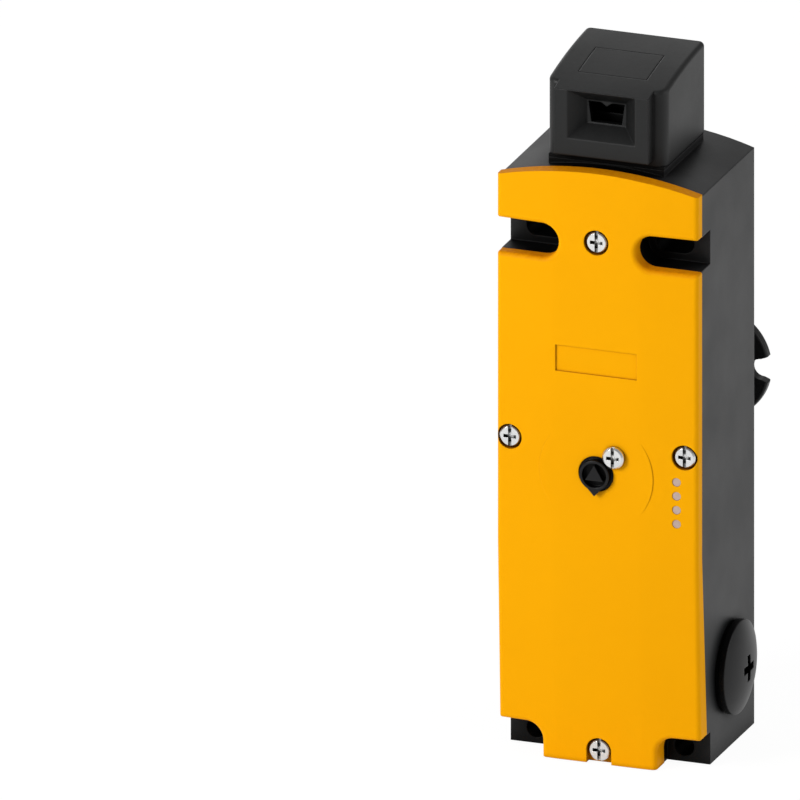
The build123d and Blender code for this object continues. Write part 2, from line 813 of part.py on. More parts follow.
def make_head_housing():
    half = head_width / 2
    nose = nose_width / 2
    nose_front = head_front + nose_depth
    body = along_x(head_profile(head_front, head_rear, head_z, 0), -half, half)
    uprights = body.edges().filter_by(Axis.Z).sort_by(Axis.Y)
    body = fillet(uprights[:2], head_front_corner)
    uprights = body.edges().filter_by(Axis.Z).filter_by(lambda e: e.center().Y > -head_rear - 0.1)
    body = fillet(uprights, head_rear_corner)
    roof = body.edges().filter_by(lambda e: e.center().Z > fixing_height + roof_front_rise - 1)
    body = fillet(roof, roof_edge)
    snout = head_profile(nose_front, head_front - 3, fixing_height + nose_bottom_rise, 0)
    body += along_x(snout, -nose, nose)
    cavity = along_x(head_profile(head_front - head_wall, head_rear + head_wall, head_z - 1, head_wall),
                     -half + head_wall, half - head_wall)
    body -= cavity
    for x, y in base_screw_places():
        boss = rod_z(x, y, base_screw_radius + base_boss_wall, head_z + base_thickness, wheel_z + hub_radius)
        body += boss
    front_face = Pos(0, -nose_front, slot_z) * Rot(90, 0, 0) * Rectangle(funnel_width, funnel_height)
    inner_face = Pos(0, -nose_front + funnel_depth, slot_z) * Rot(90, 0, 0)
    inner_face *= Rectangle(slot_top_width + 0.6, slot_height + 0.6)
    body -= loft([front_face, inner_face])
    body -= along_y(tongue_slot(), -head_front + head_wall + 1, -nose_front - 1)
    recess = top_slot_band(seam_gap, cap_thickness, funnel_width / 2, top_slot_middle, funnel_height / 2)
    body -= recess
    body -= block(-top_plug_x - seam_gap, top_plug_x + seam_gap,
                  top_slot_middle - top_plug_y - seam_gap, top_slot_middle + top_plug_y + seam_gap,
                  wheel_z + wheel_radius, wheel_z + far)
    body -= rod_x(head_y, wheel_z, axle_radius + shaft_gap, -half - 1, half - axle_wall)
    bore_top = head_z + base_screw_length + screw_bore_end
    for x, y in base_screw_places():
        body -= rod_z(x, y, base_screw_radius + shaft_gap, head_z, bore_top)
    return body


def tongue_slot():
    # Keyed slot with a rib hanging from the middle of its top.
    top = slot_z + slot_height / 2
    low = slot_z - slot_height / 2
    rib = slot_rib * 1.5
    return polygon([(-slot_bottom_width / 2, low), (slot_bottom_width / 2, low), (slot_top_width / 2, top),
                    (rib, top), (0, top - slot_rib), (-rib, top), (-slot_top_width / 2, top)])


def top_slot_band(grow, thickness, reach_x, middle, reach_y):
    # A curved slab let into the roof.
    front = -(middle - reach_y - grow)
    rear = -(middle + reach_y + grow)
    slab = head_profile(front, rear, head_z, -0.5 if grow else 0)
    under = head_profile(front + 1, rear - 1, head_z - 1, thickness)
    band = along_x(slab, -reach_x - grow, reach_x + grow)
    return band - along_x(under, -far, far)


def make_top_slot_cap():
    cap = top_slot_band(0, cap_thickness, funnel_width / 2, top_slot_middle, funnel_height / 2)
    plug = block(-top_plug_x, top_plug_x, top_slot_middle - top_plug_y, top_slot_middle + top_plug_y,
                 wheel_z + wheel_radius + 0.6, wheel_z + wheel_radius + 4)
    under = head_profile(head_front, head_rear, head_z - 1, cap_thickness - 0.2)
    return cap + (plug & along_x(under, -far, far))


def base_screw_places():
    x = head_width / 2 - base_screw_inset
    y = (head_front - head_rear) / 2 - base_screw_inset
    return [(sx * x, head_y + sy * y) for sx in (-1, 1) for sy in (-1, 1)]


def make_head_base():
    half_x = head_width / 2 - head_wall - seam_gap
    half_y = (head_front - head_rear) / 2 - head_wall - seam_gap
    base = block(-half_x, half_x, head_y - half_y, head_y + half_y, head_z, head_z + base_thickness)
    base += rod_z(0, head_y, neck_radius, neck_low, head_z + base_thickness)
    clip_low = boss_z - clip_play - clip_plate
    groove = rod_z(0, head_y, neck_radius + 1, clip_low, boss_z)
    base -= groove - rod_z(0, head_y, neck_radius - neck_groove, clip_low - 1, boss_z + 1)
    width = wheel_width / 2 + running_gap * 2
    base -= rod_x(head_y, wheel_z, wheel_radius + 0.5, -width, width)
    base -= rod_z(0, head_y, collar_radius + running_gap, spring_seat, head_z + base_thickness + 1)
    base -= rod_z(0, head_y, plunger_radius + guide_gap, neck_low - 1, spring_seat + 1)
    screws = []
    for x, y in base_screw_places():
        base -= rod_z(x, y, base_screw_head + shaft_gap, head_z - 1, head_z + base_screw_sink)
        base -= rod_z(x, y, base_screw_radius + shaft_gap, head_z, head_z + base_thickness + 1)
        screw = rod_z(x, y, base_screw_head, head_z, head_z + base_screw_sink - shaft_gap)
        screw += rod_z(x, y, base_screw_radius, head_z + 1, head_z + base_screw_length)
        screw -= block(x - base_screw_head - 1, x + base_screw_head + 1,
                       y - base_screw_slot, y + base_screw_slot, head_z - 1, head_z + base_screw_sink / 2)
        screws.append(screw)
    return base, screws


def make_head_seal():
    half_x = head_width / 2 - plinth_inset
    half_y = (head_front - head_rear) / 2 - plinth_inset
    seal = block(-half_x, half_x, head_y - half_y, head_y + half_y, plinth_z, head_z)
    return seal - rod_z(0, head_y, neck_radius + 0.8, plinth_z - 1, head_z + 1)


def make_head_clip():
    low = boss_z - clip_play / 2 - clip_plate
    half = neck_radius + clip_margin
    front = rim_front + 1.2
    plate = Pos(0, (front + head_y + half) / 2) * Rectangle(2 * half, head_y + half - front)
    slot = neck_radius - neck_groove + shaft_gap
    plate -= Pos(0, head_y) * Circle(slot)
    plate -= Pos(0, head_y + half) * Rectangle(2 * slot, 2 * half)
    clip = along_z(plate, low, low + clip_plate)
    tab = block(-4, 4, front, front + 1.2, low - 1.5, low + 0.1)
    return clip + tab


# Wheel turned by the tongue; its cam sets the plunger free
def cam_point(angle, radius):
    # Angles run from straight down towards the rear.
    a = math.radians(angle)
    return (radius * math.sin(a), -radius * math.cos(a))


def make_tongue_wheel():
    start = -cam_lead
    end = wheel_turn + cam_run_out
    steps = 12
    spiral = []
    for i in range(steps + 1):
        angle = start + (end - start) * i / steps
        spiral.append(cam_point(angle, cam_high - plunger_travel * angle / wheel_turn))
    half_turn = 180
    middle = (start + end) / 2 + half_turn
    rim = ThreePointArc(cam_point(end, wheel_radius), cam_point(middle, wheel_radius),
                        cam_point(start, wheel_radius))
    step_in = Line(cam_point(start, wheel_radius), spiral[0])
    cam = Spline(*spiral)
    step_out = Line(spiral[-1], cam_point(end, wheel_radius))
    face = make_face([rim, step_in, cam, step_out])
    offset_angle = math.degrees(math.asin(slot_offset / wheel_radius))
    for angle in (270 - offset_angle, 180 + offset_angle):
        ay, az = cam_point(angle, 1)
        floor = wheel_radius - pocket_depth + pocket_width / 2
        pocket = Pos(floor * ay, floor * az) * Circle(pocket_width / 2)
        centre = floor + pocket_depth
        pocket += Pos(centre * ay, centre * az) * Rot(0, 0, angle) * Rectangle(pocket_width, 2 * pocket_depth)
        face -= pocket
    half = wheel_width / 2
    wheel = Pos(0, head_y, wheel_z) * along_x(face, -half, half)
    reach = head_width / 2 - head_wall - running_gap
    wheel += rod_x(head_y, wheel_z, hub_radius, -reach, reach)
    return wheel - rod_x(head_y, wheel_z, axle_radius + shaft_gap, -reach - 1, reach + 1)


def make_axle():
    half = head_width / 2
    return rod_x(head_y, wheel_z, axle_radius, -half + 2 * seat_gap, half - axle_wall - seat_gap)


def coil(radius, wire, low, high, turns, y):
    # Square-wire coil spring with its axis upright.
    path = Helix((high - low - wire) / turns, high - low - wire, radius)
    start = Plane(origin=path @ 0, x_dir=(1, 0, 0), z_dir=path % 0)
    spring = sweep(start * Rectangle(wire, wire), path=path, is_frenet=True)
    return Pos(0, y, low + wire / 2) * spring


def make_plunger():
    tip = wheel_z - cam_high - cam_gap
    cone_low = tip - plunger_cone
    rod = rod_z(0, head_y, plunger_radius, stem_top, collar_low + 0.1)
    rod += rod_z(0, head_y, collar_radius, collar_low, collar_low + collar_thickness)
    rod += rod_z(0, head_y, plunger_radius, collar_low + collar_thickness - 0.1, cone_low)
    cone = Cone(plunger_radius, plunger_tip, plunger_cone)
    rod += Pos(0, head_y, cone_low + plunger_cone / 2) * cone
    spring = coil(plunger_radius + running_gap + spring_wire, spring_wire,
                  spring_seat + shaft_gap, collar_low - shaft_gap, 3, head_y)
    return rod, spring


# Locking stem, bolt and slide
def make_locking_stem():
    foot_low = release_z + foot_rise
    half = stem_width / 2
    stem = block(-half, half, stem_front, stem_rear, foot_low, stem_top)
    finger = contact_rod_depth + contact_rod
    stem += block(-contact_x - contact_rod, half, -finger, stem_front + 1,
                  foot_low, foot_low + foot_thickness)
    bolt_top = release_z + bolt_rise + bolt_height
    notch_top = bolt_top + lock_play - plunger_travel
    notch_low = release_z + bolt_rise - running_gap - plunger_travel
    stem -= block(-half - 1, -half + bolt_grip + running_gap, stem_front - 1, stem_rear + 1,
                  notch_low, notch_top)
    return stem


def make_lock_bolt():
    low = release_z + bolt_rise
    top = low + bolt_height
    profile = [(bolt_tail, low), (bolt_tip, low), (bolt_tip, top - bolt_bevel), (bolt_tip - bolt_bevel, top),
               (bolt_tail, top)]
    bolt = along_y(polygon(profile), bolt_rear, bolt_rear - bolt_width)
    middle = low + bolt_height / 2
    bolt -= rod_y(bolt_pin_x, middle, pin_radius + shaft_gap, bolt_rear + 1, bolt_rear - bolt_width + 2)
    pin = rod_y(bolt_pin_x, middle, pin_radius, slide_rear + 0.3, bolt_rear - bolt_width + 2.1)
    return bolt, pin


def make_lock_slide():
    low = release_z - armature_top_drop - 3.9
    top = release_z + bolt_rise + bolt_height + slide_margin
    half = slide_width / 2
    head_left = bolt_pin_x - pin_radius - slide_track_wall
    head_low = release_z + foot_rise
    plate = block(-half, half, slide_front, slide_rear, low, top)
    plate += block(head_left, half, slide_front, slide_rear, head_low, top)
    finger = contact_rod_depth + contact_rod
    arm_left = stem_width / 2 + 0.9
    arm_top = head_low + foot_thickness
    plate += block(arm_left, half, -finger, slide_front + 1, head_low, arm_top)
    plate += block(arm_left, contact_x + contact_rod, -finger, -finger + 7, head_low, arm_top)
    wide = cam_radius + 0.4
    window_top = release_z + cam_radius + running_gap
    window_low = release_z - cam_radius - running_gap - slide_travel
    plate -= block(-wide, wide, slide_front - 1, slide_rear + 1, window_low, window_top)
    middle = release_z + bolt_rise + bolt_height / 2
    start = (bolt_pin_x, middle)
    finish = (bolt_pin_x + bolt_travel, middle - slide_travel)
    width = 2 * (pin_radius + guide_gap)
    track = SlotCenterPoint(midpoint(start, finish), finish, width)
    plate -= along_y(track, slide_rear + 1, slide_front - 1)
    plate -= rod_y(0, link_z, link_radius + shaft_gap, 0, -far / 8)
    return plate


def midpoint(a, b):
    return ((a[0] + b[0]) / 2, (a[1] + b[1]) / 2)


def frame_screw_places():
    x = frame_width / 2 - frame_screw_inset
    return [(sx * x, z) for sx in (-1, 1) for z in (terminal_top + frame_screw_inset, frame_top - 3.5)]


# Moulded frame that carries the mechanism on the housing's rear wall
def make_frame():
    half = frame_width / 2
    frame = block(-half, half, frame_front, -rear_wall, frame_low, frame_top)
    neck = slot_inner_x - lug_radius - housing_wall - 1.0
    bracket_low = fixing_height - 6.5
    bracket_top = bracket_low + bracket_height
    bracket_front = stem_front - guide_gap - 1.8
    frame += block(-neck, neck, frame_front, -rear_wall, frame_top - 1, bracket_top)
    frame += block(-neck, neck, bracket_front, -rear_wall, bracket_low, bracket_top)
    reach = stem_width / 2 + guide_gap
    frame -= block(-reach, reach, stem_front - guide_gap, stem_rear + guide_gap,
                   bracket_low - 1, bracket_top + 1)
    bolt_low = release_z + bolt_rise
    guide_low = bolt_low - 1.7
    guide_top = bolt_low + bolt_height + 2.5
    guide_right = -stem_width / 2 - bolt_guide_wall
    guide_left = bolt_tail - 1.5
    guide_rear = slide_front - 0.5
    frame += block(guide_left, guide_right, bolt_rear - bolt_width - 2.0, guide_rear, guide_low, guide_top)
    foot_right = bolt_pin_x - pin_radius - slide_track_wall - 0.8
    frame += block(guide_left, foot_right, guide_rear - 1, frame_front + 1, guide_low, guide_top)
    frame -= block(bolt_tail - running_gap, guide_right + 1, bolt_rear - bolt_width - guide_gap, slide_front,
                   bolt_low - guide_gap, bolt_low + bolt_height + guide_gap)
    for side in (-1, 1):
        rail = side * (slide_width / 2 + guide_gap)
        outer = rail + side * rail_thickness
        frame += block(min(rail, outer), max(rail, outer), slide_front, frame_front + 1,
                       release_z + contact_rise, release_z + foot_rise - 2)
    frame -= rod_y(0, release_z, shaft_boss_radius + 0.3, 0, -far)
    board, lights, screws, posts = make_light_board()
    for x, z in posts:
        frame += rod_y(x, z, post_radius, frame_front + 0.5, -board_front + board_thickness)
        frame -= rod_y(x, z, board_screw_radius + shaft_gap, -board_front - 1,
                       -board_front + board_thickness + board_screw_length + 1)
    for x, z in frame_screw_places():
        frame -= rod_y(x, z, frame_screw_radius + shaft_gap, 0, -far)
    return frame


def make_frame_screws():
    screws = []
    for x, z in frame_screw_places():
        screw_front = frame_front - frame_screw_head
        reach = frame_screw_head_radius + 1
        screw = rod_y(x, z, frame_screw_head_radius, frame_front, screw_front)
        screw += rod_y(x, z, frame_screw_radius, frame_front - 0.1, -1.3)
        screw -= block(x - reach, x + reach, screw_front - 1, screw_front + 0.7,
                       z - frame_screw_slot, z + frame_screw_slot)
        screws.append(screw)
    return screws


# Solenoid under the slide
def make_solenoid():
    axis_y = slide_y
    half = solenoid_width / 2
    rear = frame_front
    front = rear - solenoid_depth
    inner_low = solenoid_low + yoke_thickness
    inner_top = solenoid_top - yoke_thickness
    yoke = block(-half, half, front, rear, solenoid_low, solenoid_top)
    yoke -= block(-half + yoke_thickness, half - yoke_thickness, front - 1, rear + 1, inner_low, inner_top)
    yoke -= rod_z(0, axis_y, armature_radius + guide_gap, inner_top - 1, solenoid_top + 1)
    yoke -= rod_z(0, axis_y, core_stub_radius + shaft_gap, solenoid_low - 1, inner_low + 1)
    core_top = inner_low + core_height
    core = rod_z(0, axis_y, armature_radius, inner_low, core_top)
    core += rod_z(0, axis_y, core_stub_radius, solenoid_low - core_stub_end, inner_low + 0.1)
    tube = armature_radius + 0.3
    flange = winding_radius + 0.5
    bobbin = rod_z(0, axis_y, bobbin_radius, inner_low + 0.05, inner_top - 0.05)
    for low in (inner_low + 0.05, inner_top - 0.05 - bobbin_flange):
        bobbin += rod_z(0, axis_y, flange, low, low + bobbin_flange)
    bobbin -= rod_z(0, axis_y, tube, inner_low - 1, inner_top + 1)
    winding_low = inner_low + bobbin_flange + seat_gap
    winding_top = inner_top - bobbin_flange - seat_gap
    winding = rod_z(0, axis_y, winding_radius, winding_low, winding_top)
    winding -= rod_z(0, axis_y, bobbin_radius + shaft_gap, winding_low - 1, winding_top + 1)
    collar_z = release_z - armature_collar_drop
    top = release_z - armature_top_drop
    armature = rod_z(0, axis_y, armature_radius, core_top + running_gap, top)
    armature += rod_z(0, axis_y, armature_collar, collar_z, collar_z + armature_collar_thickness)
    gap = slide_thickness / 2 + shaft_gap
    armature -= block(-far / 8, far / 8, axis_y - gap, axis_y + gap, top - armature_fork, top + 1)
    armature -= rod_y(0, link_z, link_radius + shaft_gap, 0, -far / 8)
    pin_half = armature_radius - 0.3
    pin = rod_y(0, link_z, link_radius, axis_y - pin_half, axis_y + pin_half)
    spring = coil(armature_collar - spring_wire, spring_wire,
                  solenoid_top + shaft_gap, collar_z - shaft_gap, 3, axis_y)
    return {
        "solenoid_yoke": yoke,
        "solenoid_core": core,
        "solenoid_bobbin": bobbin,
        "solenoid_winding": winding,
        "solenoid_plunger": armature,
        "solenoid_plunger_pin": pin,
        "solenoid_spring": spring,
    }


# Contact block, one on each side; the rod is pressed down at rest
def make_contact(side, travel):
    low = release_z + contact_rise
    top = low + contact_height
    half = contact_width / 2
    centre = contact_x
    case = block(centre - half, centre + half, -contact_front, case_step, low, top)
    beside_rail = slide_width / 2 + guide_gap + rail_thickness + running_gap
    case += block(beside_rail, centre + half, case_step - 1, frame_front, low, top)
    shell = contact_shell
    room_low = low + contact_floor
    room_top = top - contact_roof
    room_rear = -contact_rod_depth + bridge_width / 2 + 1.6
    case -= block(centre - half + shell, centre + half - shell, -contact_front - 1, room_rear,
                  room_low, room_top)
    bore = contact_rod / 2 + guide_gap
    case -= block(centre - bore, centre + bore, -contact_rod_depth - bore, -contact_rod_depth + bore,
                  room_low - 1, top + 1)
    rod_top = release_z + foot_rise
    rod_low = room_low + 0.4
    reach = contact_rod / 2
    rod = block(centre - reach, centre + reach, -contact_rod_depth - reach, -contact_rod_depth + reach,
                rod_low, rod_top)
    strip_low = room_top - terminal_strip - 0.05
    bridge_top = strip_low - travel - contact_opening
    bridge_low = bridge_top - bridge_thickness
    slot = bridge_width / 2 + shaft_gap
    rod -= block(centre - reach - 1, centre + reach + 1, -contact_rod_depth - slot, -contact_rod_depth + slot,
                 bridge_low - shaft_gap, bridge_top + shaft_gap)
    length = bridge_length / 2
    wide = bridge_width / 2
    bridge = block(centre - length, centre + length, -contact_rod_depth - wide, -contact_rod_depth + wide,
                   bridge_low, bridge_top)
    strips = []
    for end in (-1, 1):
        inner = centre + end * (reach + guide_gap + 0.5)
        outer = centre + end * (half - shell - seat_gap)
        strip = block(min(inner, outer), max(inner, outer), -contact_front + 0.3, room_rear - 0.1,
                      strip_low, strip_low + terminal_strip)
        tab_inner = centre + end * (half - shell - 0.9)
        strip += block(min(tab_inner, outer), max(tab_inner, outer), -contact_front + 0.3,
                       -contact_front + 3, strip_low - 6, strip_low + 0.1)
        strips.append(strip)
    pieces = [case, rod, bridge] + strips
    if side < 0:
        pieces = [mirror(piece, Plane.YZ) for piece in pieces]
    return pieces[0], pieces[1], pieces[2], pieces[3:]


# Terminal block in front of the solenoid, on two legs
def make_terminals():
    low = terminal_low
    top = terminal_top
    half = terminal_width / 2
    rear = -(terminal_front - terminal_depth)
    body = block(-half, half, -terminal_front, rear, low, top)
    for side in (-1, 1):
        outer = side * (frame_width / 2 - 0.5)
        inner = outer - side * terminal_leg
        body += block(min(inner, outer), max(inner, outer), rear - 1, frame_front, low, top)
    clamps = []
    screws = []
    pitch = terminal_width / terminal_count
    rows = (low + terminal_height * 0.27, low + terminal_height * 0.73)
    wide = terminal_bay_width / 2
    tall = terminal_bay_height / 2
    bore = clamp_screw_radius + shaft_gap
    floor = -terminal_front + terminal_bay_depth
    clamp_rear = floor - shaft_gap
    screw_seat_y = clamp_rear - clamp_thickness
    screw_front = screw_seat_y - clamp_screw_head
    tip = screw_seat_y + clamp_screw_length
    for i in range(terminal_count):
        x = -half + pitch * (i + 0.5)
        for z in rows:
            body -= block(x - wide, x + wide, -terminal_front - 1, floor, z - tall, z + tall)
            body -= rod_y(x, z, bore, floor - 1, tip + screw_bore_end)
            clamp = block(x - wide + seat_gap, x + wide - seat_gap, screw_seat_y, clamp_rear,
                          z - tall + seat_gap, z + tall - seat_gap)
            screw = rod_y(x, z, clamp_screw_head_radius, screw_front, screw_seat_y)
            screw += rod_y(x, z, clamp_screw_radius, screw_seat_y - 0.1, tip)
            screw -= block(x - wide, x + wide, screw_front - 1, screw_front + clamp_screw_head / 2,
                           z - clamp_screw_slot, z + clamp_screw_slot)
            clamps.append(clamp - rod_y(x, z, bore, 0, -far))
            screws.append(screw)
    return body, clamps, screws


# All nodes by name; a list is a group of separate solids in one node
def make_nodes():
    nodes = {
        "housing": make_housing(),
        "cover": make_cover(),
        "cover_gasket": make_gasket(),
        "cover_screws": make_cover_screws(),
        "release_lock_screw": make_lock_screw(),
        "led_light_guides": make_light_guides(),
        "head_housing": make_head_housing(),
        "head_top_slot_cap": make_top_slot_cap(),
        "head_seal": make_head_seal(),
        "head_retaining_clip": make_head_clip(),
        "tongue_wheel": make_tongue_wheel(),
        "tongue_wheel_axle": make_axle(),
        "locking_stem": make_locking_stem(),
        "lock_slide": make_lock_slide(),
        "mechanism_frame": make_frame(),
        "mechanism_frame_screws": make_frame_screws(),
    }
    nodes.update(make_auxiliary_release())
    nodes.update(make_escape_release())
    nodes.update(make_solenoid())
    nodes["led_board"], nodes["indicator_leds"], nodes["led_board_screws"], _ = make_light_board()
    nodes["head_base"], nodes["head_base_screws"] = make_head_base()
    nodes["head_plunger"], nodes["head_plunger_spring"] = make_plunger()
    nodes["lock_bolt"], nodes["lock_bolt_pin"] = make_lock_bolt()
    nodes["terminal_block"], nodes["terminal_clamps"], nodes["terminal_screws"] = make_terminals()
    for name, side in (("right", 1), ("left", -1)):
        nodes[name + "_blanking_plug"], nodes[name + "_plug_seal"] = make_plug(side)
    for name, side, travel in (("tongue", -1, plunger_travel), ("lock", 1, slide_travel)):
        case, rod, bridge, strips = make_contact(side, travel)
        nodes[name + "_contact_case"] = case
        nodes[name + "_contact_rod"] = rod
        nodes[name + "_contact_bridge"] = bridge
        nodes[name + "_contact_terminals"] = strips
    return nodes


def solids_of(shape):
    shapes = shape if isinstance(shape, list) else [shape]
    return [solid for item in shapes for solid in item.solids()]


def main():
    os.makedirs("parts", exist_ok=True)
    for name, shape in make_nodes().items():
        solids = solids_of(shape)
        export_step(solids[0] if len(solids) == 1 else Compound(children=solids), "parts/" + name + ".step")


main()
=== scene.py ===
import json
import math

import bmesh
import bpy
from mathutils import Matrix, Vector


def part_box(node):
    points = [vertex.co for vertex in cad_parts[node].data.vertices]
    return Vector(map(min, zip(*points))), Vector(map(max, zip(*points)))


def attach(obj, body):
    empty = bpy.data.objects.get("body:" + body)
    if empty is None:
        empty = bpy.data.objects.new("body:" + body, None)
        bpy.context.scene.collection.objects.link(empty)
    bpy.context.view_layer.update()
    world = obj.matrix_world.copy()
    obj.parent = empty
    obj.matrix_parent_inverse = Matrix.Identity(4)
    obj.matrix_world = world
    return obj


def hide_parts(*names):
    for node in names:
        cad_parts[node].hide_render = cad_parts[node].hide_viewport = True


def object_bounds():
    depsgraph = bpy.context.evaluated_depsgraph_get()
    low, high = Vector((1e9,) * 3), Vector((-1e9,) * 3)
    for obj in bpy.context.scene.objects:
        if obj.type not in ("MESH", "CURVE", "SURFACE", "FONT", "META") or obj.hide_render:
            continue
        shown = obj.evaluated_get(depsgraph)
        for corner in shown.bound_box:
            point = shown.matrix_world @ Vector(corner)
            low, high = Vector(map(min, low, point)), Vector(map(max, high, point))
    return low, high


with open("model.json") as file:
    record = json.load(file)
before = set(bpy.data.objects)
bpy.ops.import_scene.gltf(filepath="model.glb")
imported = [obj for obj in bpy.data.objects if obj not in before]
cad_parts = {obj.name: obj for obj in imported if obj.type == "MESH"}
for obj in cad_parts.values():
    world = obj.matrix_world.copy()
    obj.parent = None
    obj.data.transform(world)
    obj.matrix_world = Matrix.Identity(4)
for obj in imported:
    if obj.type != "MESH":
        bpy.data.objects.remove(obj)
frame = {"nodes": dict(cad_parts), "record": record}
cadLow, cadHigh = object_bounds()
nodes = frame["nodes"]
print("frame loaded:", len(nodes), "nodes")


# Camera: parallel view, as in the photograph
cameraView = {
    "azimuth": 20.0,            # degrees, to the right of the front
    "elevation": 20.0,
    "pixelsPerMetre": 3930.0,
    "imagePixels": 800.0,
    "originPixel": (654.5, 695.2),   # where the frame's origin falls in the image
    "distance": 1.2,
}


def viewAxes(azimuth, elevation):
    a = math.radians(azimuth)
    e = math.radians(elevation)
    back = Vector((math.sin(a) * math.cos(e), -math.cos(a) * math.cos(e), math.sin(e)))
    right = Vector((math.cos(a), math.sin(a), 0.0))
    return right, back.cross(right), back


def makeCamera():
    right, up, back = viewAxes(cameraView["azimuth"], cameraView["elevation"])
    half = cameraView["imagePixels"] / 2
    originX, originY = cameraView["originPixel"]
    across = (half - originX) / cameraView["pixelsPerMetre"]
    above = (originY - half) / cameraView["pixelsPerMetre"]
    data = bpy.data.cameras.new("photoCamera")
    data.type = "ORTHO"
    data.ortho_scale = cameraView["imagePixels"] / cameraView["pixelsPerMetre"]
    data.clip_end = 10.0
    camera = bpy.data.objects.new("photoCamera", data)
    camera.location = right * across + up * above + back * cameraView["distance"]
    camera.rotation_mode = "QUATERNION"
    camera.rotation_quaternion = (-back).to_track_quat("-Z", "Y")
    bpy.context.scene.collection.objects.link(camera)
    bpy.context.scene.camera = camera


makeCamera()
print("camera placed")


# Shader building
def addNode(tree, kind, settings=None, inputs=None):
    node = tree.nodes.new(kind)
    for name, value in (settings or {}).items():
        setattr(node, name, value)
    for name, value in (inputs or {}).items():
        if isinstance(value, bpy.types.NodeSocket):
            tree.links.new(value, node.inputs[name])
        else:
            node.inputs[name].default_value = value
    return node


def newGroup(name, inputs, outputs):
    tree = bpy.data.node_groups.new(name, "ShaderNodeTree")
    for socketName, kind, value in inputs:
        socket = tree.interface.new_socket(name=socketName, in_out="INPUT", socket_type=kind)
        socket.default_value = value
    for socketName, kind in outputs:
        tree.interface.new_socket(name=socketName, in_out="OUTPUT", socket_type=kind)
    return tree, tree.nodes.new("NodeGroupInput"), tree.nodes.new("NodeGroupOutput")


def mathNode(tree, operation, first, second, clamp=False):
    node = tree.nodes.new("ShaderNodeMath")
    node.operation = operation
    node.use_clamp = clamp
    for i, value in enumerate((first, second)):
        if isinstance(value, bpy.types.NodeSocket):
            tree.links.new(value, node.inputs[i])
        else:
            node.inputs[i].default_value = value
    return node.outputs[0]


# Fine spark-eroded grain of a moulding, with slow changes of tone
grainShares = {"noise": 0.6, "pits": 0.5}   # how much each adds to the height


def makeMouldGrain():
    tree, given, out = newGroup(
        "mouldGrain",
        [("Grain Size", "NodeSocketFloat", 2600.0), ("Cloud Size", "NodeSocketFloat", 45.0)],
        [("Height", "NodeSocketFloat"), ("Tone", "NodeSocketFloat")],
    )
    place = addNode(tree, "ShaderNodeTexCoord").outputs["Object"]
    fine = addNode(tree, "ShaderNodeTexNoise", inputs={
        "Vector": place, "Scale": given.outputs["Grain Size"], "Detail": 3.0, "Roughness": 0.6})
    cells = addNode(tree, "ShaderNodeTexVoronoi", {"feature": "SMOOTH_F1"}, {
        "Vector": place, "Scale": given.outputs["Grain Size"], "Smoothness": 0.6})
    noise = mathNode(tree, "MULTIPLY", fine.outputs[0], grainShares["noise"])
    pits = mathNode(tree, "MULTIPLY", cells.outputs["Distance"], grainShares["pits"])
    tree.links.new(mathNode(tree, "ADD", noise, pits), out.inputs["Height"])
    clouds = addNode(tree, "ShaderNodeTexNoise", inputs={
        "Vector": place, "Scale": given.outputs["Cloud Size"], "Detail": 4.0, "Roughness": 0.55})
    tree.links.new(clouds.outputs[0], out.inputs["Tone"])
    return tree


# Rounded edges for the shading, and a mask of edges made lighter: partly wear where they are rubbed, partly
# a painted highlight along them
edgeWearAndHighlightSetting = {"patchSize": 260.0, "samples": 6}


def makeEdgeWearAndHighlight():
    tree, given, out = newGroup(
        "edgeWearAndHighlight",
        [("Radius", "NodeSocketFloat", 0.0004), ("Contrast", "NodeSocketFloat", 6.0)],
        [("Mask", "NodeSocketFloat"), ("Normal", "NodeSocketVector")],
    )
    rounded = addNode(tree, "ShaderNodeBevel", {"samples": edgeWearAndHighlightSetting["samples"]}, {
        "Radius": given.outputs["Radius"]})
    flat = addNode(tree, "ShaderNodeNewGeometry")
    agree = tree.nodes.new("ShaderNodeVectorMath")
    agree.operation = "DOT_PRODUCT"
    tree.links.new(rounded.outputs["Normal"], agree.inputs[0])
    tree.links.new(flat.outputs["Normal"], agree.inputs[1])
    turned = mathNode(tree, "SUBTRACT", 1.0, agree.outputs["Value"])
    strong = mathNode(tree, "MULTIPLY", turned, given.outputs["Contrast"])
    patches = addNode(tree, "ShaderNodeTexNoise", inputs={
        "Vector": addNode(tree, "ShaderNodeTexCoord").outputs["Object"],
        "Scale": edgeWearAndHighlightSetting["patchSize"], "Detail": 3.0})
    broken = mathNode(tree, "MULTIPLY", strong, patches.outputs[0], clamp=True)
    tree.links.new(broken, out.inputs["Mask"])
    tree.links.new(rounded.outputs["Normal"], out.inputs["Normal"])
    return tree


# Dust that lies on what faces up; on the yellow cover the same mask paints shade, a darker orange on what
# faces up
def makeUpFacingDustAndShade():
    tree, given, out = newGroup(
        "upFacingDustAndShade",
        [("Amount", "NodeSocketFloat", 0.3), ("Speck Size", "NodeSocketFloat", 700.0)],
        [("Mask", "NodeSocketFloat")],
    )
    normal = addNode(tree, "ShaderNodeNewGeometry").outputs["Normal"]
    split = addNode(tree, "ShaderNodeSeparateXYZ", inputs={"Vector": normal})
    upward = mathNode(tree, "MULTIPLY", split.outputs["Z"], given.outputs["Amount"], clamp=True)
    specks = addNode(tree, "ShaderNodeTexNoise", inputs={
        "Vector": addNode(tree, "ShaderNodeTexCoord").outputs["Object"],
        "Scale": given.outputs["Speck Size"], "Detail": 5.0, "Roughness": 0.7})
    tree.links.new(mathNode(tree, "MULTIPLY", upward, specks.outputs[0]), out.inputs["Mask"])
    return tree


